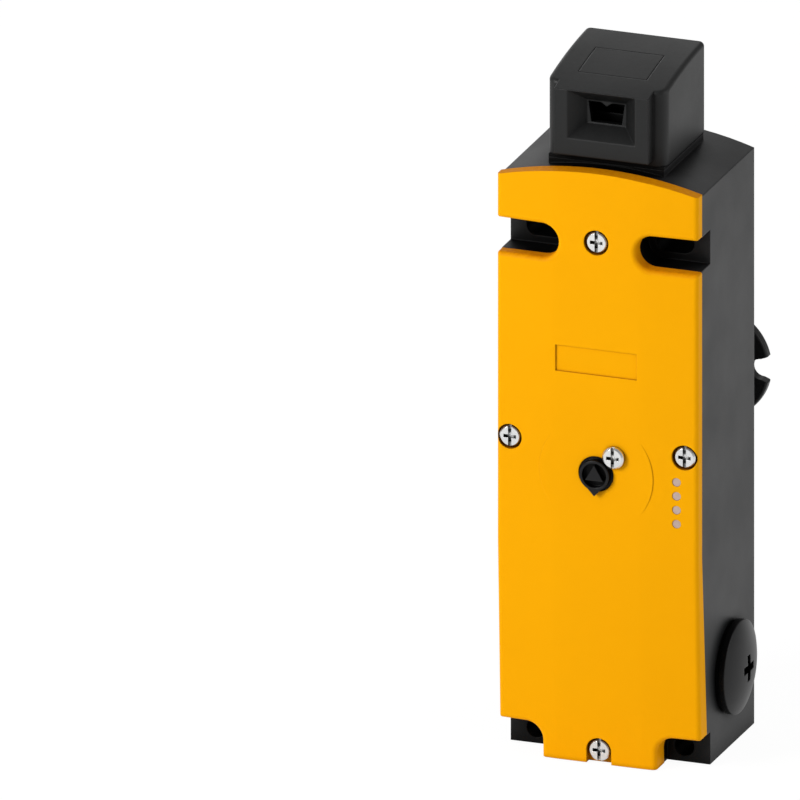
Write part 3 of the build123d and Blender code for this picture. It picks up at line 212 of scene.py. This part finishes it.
# Fine lines left by a tool or a rolling mill, along one axis
def makeToolLines():
    tree, given, out = newGroup(
        "toolLines",
        [("Stretch", "NodeSocketVector", (400.0, 400.0, 9000.0))],
        [("Height", "NodeSocketFloat"), ("Tone", "NodeSocketFloat")],
    )
    place = addNode(tree, "ShaderNodeTexCoord").outputs["Object"]
    mapped = addNode(tree, "ShaderNodeMapping", inputs={"Vector": place, "Scale": given.outputs["Stretch"]})
    lines = addNode(tree, "ShaderNodeTexNoise", inputs={
        "Vector": mapped.outputs["Vector"], "Scale": 1.0, "Detail": 4.0, "Roughness": 0.7})
    tree.links.new(lines.outputs[0], out.inputs["Height"])
    stains = addNode(tree, "ShaderNodeTexNoise", inputs={"Vector": place, "Scale": 320.0, "Detail": 5.0})
    tree.links.new(stains.outputs[0], out.inputs["Tone"])
    return tree


# Painted shade: crevices that little light reaches are given a darker colour and less shine
paintedShadeSetting = {"openShare": 0.85, "samples": 8}   # less open than this share gets painted shade


def makePaintedCreviceShade():
    tree, given, out = newGroup(
        "paintedCreviceShade",
        [("Reach", "NodeSocketFloat", 0.003), ("Strength", "NodeSocketFloat", 1.5)],
        [("Mask", "NodeSocketFloat")],
    )
    around = addNode(tree, "ShaderNodeAmbientOcclusion", {"samples": paintedShadeSetting["samples"]}, {
        "Distance": given.outputs["Reach"]})
    closed = mathNode(tree, "SUBTRACT", paintedShadeSetting["openShare"], around.outputs["AO"])
    mask = mathNode(tree, "MULTIPLY", closed, given.outputs["Strength"], clamp=True)
    tree.links.new(mask, out.inputs["Mask"])
    return tree


groups = {
    "grain": makeMouldGrain(),
    "edges": makeEdgeWearAndHighlight(),
    "dustAndTopShade": makeUpFacingDustAndShade(),
    "lines": makeToolLines(),
    "paintedCreviceShade": makePaintedCreviceShade(),
}


def placeGroup(tree, name, inputs):
    node = tree.nodes.new("ShaderNodeGroup")
    node.node_tree = groups[name]
    for socketName, value in inputs.items():
        node.inputs[socketName].default_value = value
    return node


def mixColours(tree, factor, first, second):
    node = tree.nodes.new("ShaderNodeMix")
    node.data_type = "RGBA"
    tree.links.new(factor, node.inputs["Factor"])
    for socket, value in ((node.inputs[6], first), (node.inputs[7], second)):
        if isinstance(value, bpy.types.NodeSocket):
            tree.links.new(value, socket)
        else:
            socket.default_value = (*value, 1.0)
    return node.outputs[2]


def rangeOf(tree, value, low, high, fromLow=0.3, fromHigh=0.7):
    node = addNode(tree, "ShaderNodeMapRange", inputs={
        "Value": value, "From Min": fromLow, "From Max": fromHigh, "To Min": low, "To Max": high})
    return node.outputs["Result"]


def startMaterial(name):
    material = bpy.data.materials.new(name)
    material.use_nodes = True
    tree = material.node_tree
    shader = tree.nodes["Principled BSDF"]
    return material, tree, shader


# Moulded plastics
def makeMoulding(name, look):
    material, tree, shader = startMaterial(name)
    grain = placeGroup(tree, "grain", {"Grain Size": look["grainSize"], "Cloud Size": look["cloudSize"]})
    edges = placeGroup(tree, "edges", {"Radius": look["edgeRadius"], "Contrast": look["edgeContrast"]})
    dustAndTopShade = placeGroup(tree, "dustAndTopShade", {"Amount": look["dustAndTopShade"], "Speck Size": look["speckSize"]})
    tone = rangeOf(tree, grain.outputs["Tone"], 0.0, 1.0)
    colour = mixColours(tree, tone, look["colour"], look["colourDeep"])
    # edges made lighter: partly wear, partly a painted highlight
    colour = mixColours(tree, edges.outputs["Mask"], colour, look["edgeWearAndHighlightColour"])
    # pale dust on the dark parts; painted shade, darker orange, on what faces up on the yellow cover
    colour = mixColours(tree, dustAndTopShade.outputs["Mask"], colour, look["dustAndTopShadeColour"])
    paintedShade = placeGroup(tree, "paintedCreviceShade", {"Reach": look["paintedShadeReach"], "Strength": look["paintedShade"]})
    # painted shade: crevices mixed towards a dark colour
    colour = mixColours(tree, paintedShade.outputs["Mask"], colour, look["paintedShadeColour"])
    tree.links.new(colour, shader.inputs["Base Color"])
    rough = rangeOf(tree, grain.outputs["Tone"], look["roughLow"], look["roughHigh"])
    tree.links.new(rough, shader.inputs["Roughness"])
    bump = addNode(tree, "ShaderNodeBump", inputs={
        "Height": grain.outputs["Height"], "Normal": edges.outputs["Normal"],
        "Strength": look["grainStrength"], "Distance": look["grainDepth"]})
    tree.links.new(bump.outputs["Normal"], shader.inputs["Normal"])
    # painted shade: less specular in crevices
    shine = rangeOf(tree, paintedShade.outputs["Mask"], look["specular"], look["paintedShadeShine"], 0.0, 1.0)
    tree.links.new(shine, shader.inputs["Specular IOR Level"])
    return material


caseLook = {
    "colour": (0.0135, 0.0138, 0.0145), "colourDeep": (0.0110, 0.0113, 0.0120),
    "edgeWearAndHighlightColour": (0.040, 0.041, 0.043), "dustAndTopShadeColour": (0.13, 0.13, 0.13),
    "grainSize": 2600.0, "cloudSize": 38.0, "grainStrength": 0.30, "grainDepth": 0.00005,
    "edgeRadius": 0.0005, "edgeContrast": 1.2, "dustAndTopShade": 0.10, "speckSize": 800.0,
    "roughLow": 0.38, "roughHigh": 0.47, "specular": 0.30,
    # painted shade: notches, recesses and the gaps under the head and by the plug darkened
    "paintedShadeReach": 0.012, "paintedShade": 2.8, "paintedShadeColour": (0.0015, 0.0015, 0.0015),
    "paintedShadeShine": 0.08,
}
coverLook = {
    "colour": (0.95, 0.418, 0.0006), "colourDeep": (0.93, 0.403, 0.0006),
    # painted shade: what faces up on the cover turns darker orange
    "edgeWearAndHighlightColour": (0.96, 0.48, 0.02), "dustAndTopShadeColour": (0.58, 0.13, 0.002),
    "grainSize": 3200.0, "cloudSize": 24.0, "grainStrength": 0.18, "grainDepth": 0.00003,
    "edgeRadius": 0.0004, "edgeContrast": 1.2, "dustAndTopShade": 1.0, "speckSize": 900.0,
    "roughLow": 0.42, "roughHigh": 0.50, "specular": 0.03,
    # painted shade: screw recesses and the gap under the head turn dark orange
    "paintedShadeReach": 0.0025, "paintedShade": 1.4, "paintedShadeColour": (0.30, 0.085, 0.0004),
    "paintedShadeShine": 0.02,
}
headLook = dict(caseLook, colour=(0.0075, 0.0080, 0.0080), colourDeep=(0.0060, 0.0064, 0.0064),
                grainSize=2200.0, roughLow=0.40, roughHigh=0.50, edgeContrast=1.4, specular=0.32,
                paintedShade=1.8)
blackLook = dict(caseLook, colour=(0.006, 0.006, 0.0065), colourDeep=(0.004, 0.004, 0.0045),
                 edgeWearAndHighlightColour=(0.02, 0.02, 0.021), roughLow=0.30, roughHigh=0.40, grainStrength=0.15,
                 dustAndTopShade=0.04, specular=0.24)
paleLook = dict(caseLook, colour=(0.60, 0.57, 0.50), colourDeep=(0.55, 0.52, 0.45), dustAndTopShade=0.0,
                edgeWearAndHighlightColour=(0.72, 0.70, 0.64), roughLow=0.40, roughHigh=0.48, grainStrength=0.12)
frameLook = dict(caseLook, colour=(0.10, 0.105, 0.11), colourDeep=(0.085, 0.09, 0.095), dustAndTopShade=0.0,
                 edgeWearAndHighlightColour=(0.2, 0.2, 0.2))
rubberLook = dict(caseLook, colour=(0.014, 0.014, 0.014), colourDeep=(0.010, 0.010, 0.010), dustAndTopShade=0.12,
                  roughLow=0.62, roughHigh=0.75, edgeContrast=0.3, specular=0.2)


# Metals
def makeMetal(name, look):
    material, tree, shader = startMaterial(name)
    lines = placeGroup(tree, "lines", {"Stretch": look["stretch"]})
    edges = placeGroup(tree, "edges", {"Radius": look["edgeRadius"], "Contrast": look["edgeContrast"]})
    stain = rangeOf(tree, lines.outputs["Tone"], 0.0, 1.0)
    colour = mixColours(tree, stain, look["colour"], look["colourStained"])
    # edges made lighter: partly wear, partly a painted highlight
    colour = mixColours(tree, edges.outputs["Mask"], colour, look["edgeWearAndHighlightColour"])
    paintedShade = placeGroup(tree, "paintedCreviceShade", {"Reach": look["paintedShadeReach"], "Strength": look["paintedShade"]})
    # painted shade: screw drives and crevices mixed towards a dark colour
    colour = mixColours(tree, paintedShade.outputs["Mask"], colour, look["paintedShadeColour"])
    tree.links.new(colour, shader.inputs["Base Color"])
    rough = rangeOf(tree, lines.outputs["Height"], look["roughLow"], look["roughHigh"])
    tree.links.new(rough, shader.inputs["Roughness"])
    shader.inputs["Metallic"].default_value = 1.0
    bump = addNode(tree, "ShaderNodeBump", inputs={
        "Height": lines.outputs["Height"], "Normal": edges.outputs["Normal"],
        "Strength": look["lineStrength"], "Distance": look["lineDepth"]})
    tree.links.new(bump.outputs["Normal"], shader.inputs["Normal"])
    return material


zincLook = {
    "colour": (0.82, 0.82, 0.81), "colourStained": (0.72, 0.73, 0.74), "edgeWearAndHighlightColour": (0.93, 0.93, 0.92),
    "stretch": (2500.0, 2500.0, 2500.0), "edgeRadius": 0.00015, "edgeContrast": 2.0,
    "roughLow": 0.22, "roughHigh": 0.34, "lineStrength": 0.2, "lineDepth": 0.00002,
    # painted shade: screw drives and recesses darkened
    "paintedShadeReach": 0.0012, "paintedShade": 2.2, "paintedShadeColour": (0.03, 0.03, 0.03),
}
springLook = dict(zincLook, colour=(0.62, 0.62, 0.64), colourStained=(0.52, 0.52, 0.54), roughLow=0.25,
                  roughHigh=0.38, stretch=(500.0, 500.0, 6000.0))
machinedLook = dict(zincLook, colour=(0.50, 0.50, 0.50), colourStained=(0.42, 0.41, 0.40), roughLow=0.30,
                    roughHigh=0.45, stretch=(400.0, 9000.0, 400.0), lineStrength=0.35)
yokeLook = dict(zincLook, colour=(0.48, 0.48, 0.46), colourStained=(0.38, 0.38, 0.36), roughLow=0.42,
                roughHigh=0.58, stretch=(300.0, 300.0, 5000.0))
contactLook = dict(zincLook, colour=(0.80, 0.58, 0.25), colourStained=(0.66, 0.44, 0.18),
                   edgeWearAndHighlightColour=(0.90, 0.72, 0.40), roughLow=0.25, roughHigh=0.4)
copperLook = dict(zincLook, colour=(0.72, 0.26, 0.10), colourStained=(0.58, 0.18, 0.07),
                  edgeWearAndHighlightColour=(0.85, 0.42, 0.2), roughLow=0.28, roughHigh=0.4)


# Milky light guides
guideLook = {
    "colour": (0.56, 0.42, 0.36), "colourDeep": (0.46, 0.34, 0.29),
    "grainSize": 1500.0, "cloudSize": 900.0, "rough": 0.25, "coat": 0.4,
}


def makeLightGuide(look):
    material, tree, shader = startMaterial("lightGuide")
    grain = placeGroup(tree, "grain", {"Grain Size": look["grainSize"], "Cloud Size": look["cloudSize"]})
    tone = rangeOf(tree, grain.outputs["Tone"], 0.0, 1.0)
    tree.links.new(mixColours(tree, tone, look["colour"], look["colourDeep"]), shader.inputs["Base Color"])
    shader.inputs["Roughness"].default_value = look["rough"]
    shader.inputs["Coat Weight"].default_value = look["coat"]
    return material


# Green lacquered board with raised tracks
boardLook = {
    "lacquer": (0.012, 0.10, 0.035), "track": (0.03, 0.19, 0.07), "trackPitch": 620.0,
    "trackEdges": (0.6, 0.7), "trackStrength": 0.4, "trackHeight": 0.00003, "rough": 0.3,
}


def makeBoardGreen(look):
    material, tree, shader = startMaterial("boardGreen")
    place = addNode(tree, "ShaderNodeTexCoord").outputs["Object"]
    tracks = addNode(tree, "ShaderNodeTexWave", {"wave_type": "BANDS", "bands_direction": "Z"}, {
        "Vector": place, "Scale": look["trackPitch"], "Distortion": 2.0, "Detail": 1.0})
    mask = rangeOf(tree, tracks.outputs["Fac"], 0.0, 1.0, *look["trackEdges"])
    tree.links.new(mixColours(tree, mask, look["lacquer"], look["track"]), shader.inputs["Base Color"])
    bump = addNode(tree, "ShaderNodeBump", inputs={
        "Height": mask, "Strength": look["trackStrength"], "Distance": look["trackHeight"]})
    tree.links.new(bump.outputs["Normal"], shader.inputs["Normal"])
    shader.inputs["Roughness"].default_value = look["rough"]
    return material


finishes = {
    "case_grey": makeMoulding("caseGrey", caseLook),
    "cover_yellow": makeMoulding("coverYellow", coverLook),
    "head_black": makeMoulding("headBlack", headLook),
    "black_plastic": makeMoulding("blackPlastic", blackLook),
    "pale_plastic": makeMoulding("palePlastic", paleLook),
    "frame_plastic": makeMoulding("framePlastic", frameLook),
    "rubber_black": makeMoulding("rubberBlack", rubberLook),
    "screw_steel": makeMetal("zincSteel", zincLook),
    "spring_steel": makeMetal("springSteel", springLook),
    "mechanism_steel": makeMetal("machinedSteel", machinedLook),
    "yoke_steel": makeMetal("yokeSteel", yokeLook),
    "contact_metal": makeMetal("contactMetal", contactLook),
    "copper": makeMetal("copperWire", copperLook),
    "light_guide": makeLightGuide(guideLook),
    "board_green": makeBoardGreen(boardLook),
}


def dressNodes():
    slotOf = {part["node"]: part["material_slot"] for part in frame["record"]["subparts"]}
    for name, piece in nodes.items():
        piece.data.materials.clear()
        piece.data.materials.append(finishes[slotOf[name]])


dressNodes()
print("materials set:", len(finishes))


# Ridges that wind round an upright axis: threads and wire
def makeHelix(name, centre, low, high, pitch, profile, steps):
    # The profile is a row of (radius, height) pairs, carried round the axis and up by one pitch a turn
    heights = [height for radius, height in profile]
    rise = max(heights) - min(heights)
    count = int((high - low - rise) / pitch * steps)
    start = low - min(heights)
    built = bmesh.new()
    rings = []
    for i in range(count + 1):
        angle = 2 * math.pi * i / steps
        lift = start + pitch * i / steps
        ring = []
        for radius, height in profile:
            x = centre[0] + radius * math.cos(angle)
            y = centre[1] + radius * math.sin(angle)
            ring.append(built.verts.new((x, y, lift + height)))
        rings.append(ring)
    sides = len(profile)
    for ring, following in zip(rings, rings[1:]):
        for i in range(sides):
            j = (i + 1) % sides
            built.faces.new((ring[i], ring[j], following[j], following[i]))
    built.faces.new(list(reversed(rings[0])))
    built.faces.new(rings[-1])
    bmesh.ops.recalc_face_normals(built, faces=built.faces)
    mesh = bpy.data.meshes.new(name)
    built.to_mesh(mesh)
    built.free()
    piece = bpy.data.objects.new(name, mesh)
    bpy.context.scene.collection.objects.link(piece)
    return piece


entryThread = {
    "pitch": 0.0015,
    "ridge": 0.0009,     # from the wall of the entry to the crest
    "crest": 0.0002,
    "root": 0.0001,      # free wall between two ridges
    "inset": 0.0004,     # from both ends of the entry
    "bite": 0.0003,      # into the wall
    "steps": 72,
}


def makeEntryThread():
    entry = next(mount for mount in frame["record"]["mounts"] if mount["name"] == "bottom_cable_entry")
    x, y, z = entry["pos_m"]
    outer = entry["dims"]["r_mm"] / 1000 + entryThread["bite"]
    inner = outer - entryThread["bite"] - entryThread["ridge"]
    half = (entryThread["pitch"] - entryThread["root"]) / 2
    crest = entryThread["crest"] / 2
    profile = [(outer, -half), (inner, -crest), (inner, crest), (outer, half)]
    low = z + entryThread["inset"]
    high = z + entry["dims"]["length_mm"] / 1000 - entryThread["inset"]
    piece = makeHelix("entryThread", (x, y), low, high, entryThread["pitch"], profile, entryThread["steps"])
    piece.data.materials.append(finishes["case_grey"])
    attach(piece, "switch_body")


windingWire = {
    "wire": 0.00052,
    "layers": 0.0022,    # thickness of the wound wire
    "margin": 0.00005,   # at both flanges
    "steps": 48,
    "facets": 4,
}


def makeWinding():
    low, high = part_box("solenoid_winding")
    centre = ((low.x + high.x) / 2, (low.y + high.y) / 2)
    radius = (high.x - low.x) / 2
    bore = radius - windingWire["layers"]
    half = windingWire["wire"] / 2
    arc = [math.pi * (i / windingWire["facets"] - 0.5) for i in range(windingWire["facets"] + 1)]
    profile = [(bore, -half)]
    profile += [(radius - half + half * math.cos(a), half * math.sin(a)) for a in arc]
    profile += [(bore, half)]
    piece = makeHelix("windingTurns", centre, low.z + windingWire["margin"], high.z - windingWire["margin"],
                      windingWire["wire"], profile, windingWire["steps"])
    for face in piece.data.polygons:
        face.use_smooth = True
    piece.data.materials.append(finishes["copper"])
    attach(piece, "switch_body")
    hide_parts("solenoid_winding")


makeEntryThread()
makeWinding()
print("thread and winding made")


# Floor, backdrop light and lamps
studio = {
    "floorDrop": 0.0004,        # under the lowest edge of the case
    "floorSize": 3.0,
    "floorColour": (0.90, 0.90, 0.90),
    "floorRough": 0.9,
    "floorGlow": 0.92,          # share of its own light that the camera sees
    "floorGlowMirrored": 0.55,  # the same in reflections
    "glowStrength": 1.04,
    "worldStrength": 0.31,
    "lampAim": (0.0, -0.02, 0.08),
    "lamps": {
        "keyLamp": {"at": (-0.66, -0.88, 0.60), "size": 0.5, "power": 10.1},
        "sideLamp": {"at": (0.95, 0.10, 0.45), "size": 0.8, "power": 3.0},
        "backLamp": {"at": (-0.90, 0.90, 0.50), "size": 0.7, "power": 1.8},
        "roofLamp": {"at": (-0.35, 1.00, 0.80), "size": 0.8, "power": 0.85},
    },
}


def glowShare(tree):
    path = tree.nodes.new("ShaderNodeLightPath")
    direct = mathNode(tree, "MAXIMUM", path.outputs["Is Camera Ray"], path.outputs["Is Transmission Ray"])
    seen = mathNode(tree, "MULTIPLY", direct, studio["floorGlow"])
    mirrored = mathNode(tree, "MULTIPLY", path.outputs["Is Glossy Ray"], studio["floorGlowMirrored"])
    return mathNode(tree, "MAXIMUM", seen, mirrored)


def makeFloor():
    size = studio["floorSize"]
    level = cadLow.z - studio["floorDrop"]
    mesh = bpy.data.meshes.new("studioFloor")
    corners = [(-size, -size, level), (size, -size, level), (size, size, level), (-size, size, level)]
    mesh.from_pydata(corners, [], [(0, 1, 2, 3)])
    floor = bpy.data.objects.new("studioFloor", mesh)
    bpy.context.scene.collection.objects.link(floor)
    material, tree, shader = startMaterial("floorPale")
    shader.inputs["Base Color"].default_value = (*studio["floorColour"], 1.0)
    shader.inputs["Roughness"].default_value = studio["floorRough"]
    shader.inputs["Specular IOR Level"].default_value = 0.0
    glow = addNode(tree, "ShaderNodeEmission", inputs={
        "Color": (1.0, 1.0, 1.0, 1.0), "Strength": studio["glowStrength"]})
    seen = addNode(tree, "ShaderNodeMixShader", inputs={
        0: glowShare(tree), 1: shader.outputs[0], 2: glow.outputs[0]})
    clear = tree.nodes.new("ShaderNodeBsdfTransparent")
    back = tree.nodes.new("ShaderNodeNewGeometry").outputs["Backfacing"]
    final = addNode(tree, "ShaderNodeMixShader", inputs={0: back, 1: seen.outputs[0], 2: clear.outputs[0]})
    tree.links.new(final.outputs[0], tree.nodes["Material Output"].inputs["Surface"])
    mesh.materials.append(material)


def makeWorld():
    world = bpy.data.worlds.new("studioWorld")
    world.use_nodes = True
    tree = world.node_tree
    plain = tree.nodes["Background"]
    plain.inputs["Color"].default_value = (1.0, 1.0, 1.0, 1.0)
    plain.inputs["Strength"].default_value = studio["worldStrength"]
    bright = addNode(tree, "ShaderNodeBackground", inputs={"Color": (1.0, 1.0, 1.0, 1.0), "Strength": 1.0})
    path = tree.nodes.new("ShaderNodeLightPath").outputs["Is Camera Ray"]
    mixed = addNode(tree, "ShaderNodeMixShader", inputs={0: path, 1: plain.outputs[0], 2: bright.outputs[0]})
    tree.links.new(mixed.outputs[0], tree.nodes["World Output"].inputs["Surface"])
    bpy.context.scene.world = world


def makeLamps():
    aim = Vector(studio["lampAim"])
    for name, lamp in studio["lamps"].items():
        data = bpy.data.lights.new(name, "AREA")
        data.shape = "DISK"
        data.size = lamp["size"]
        data.energy = lamp["power"]
        light = bpy.data.objects.new(name, data)
        light.location = lamp["at"]
        light.rotation_mode = "QUATERNION"
        light.rotation_quaternion = (aim - light.location).to_track_quat("-Z", "Y")
        bpy.context.scene.collection.objects.link(light)


makeFloor()
makeWorld()
makeLamps()
bpy.context.scene.view_settings.view_transform = "Standard"
print("studio lit")
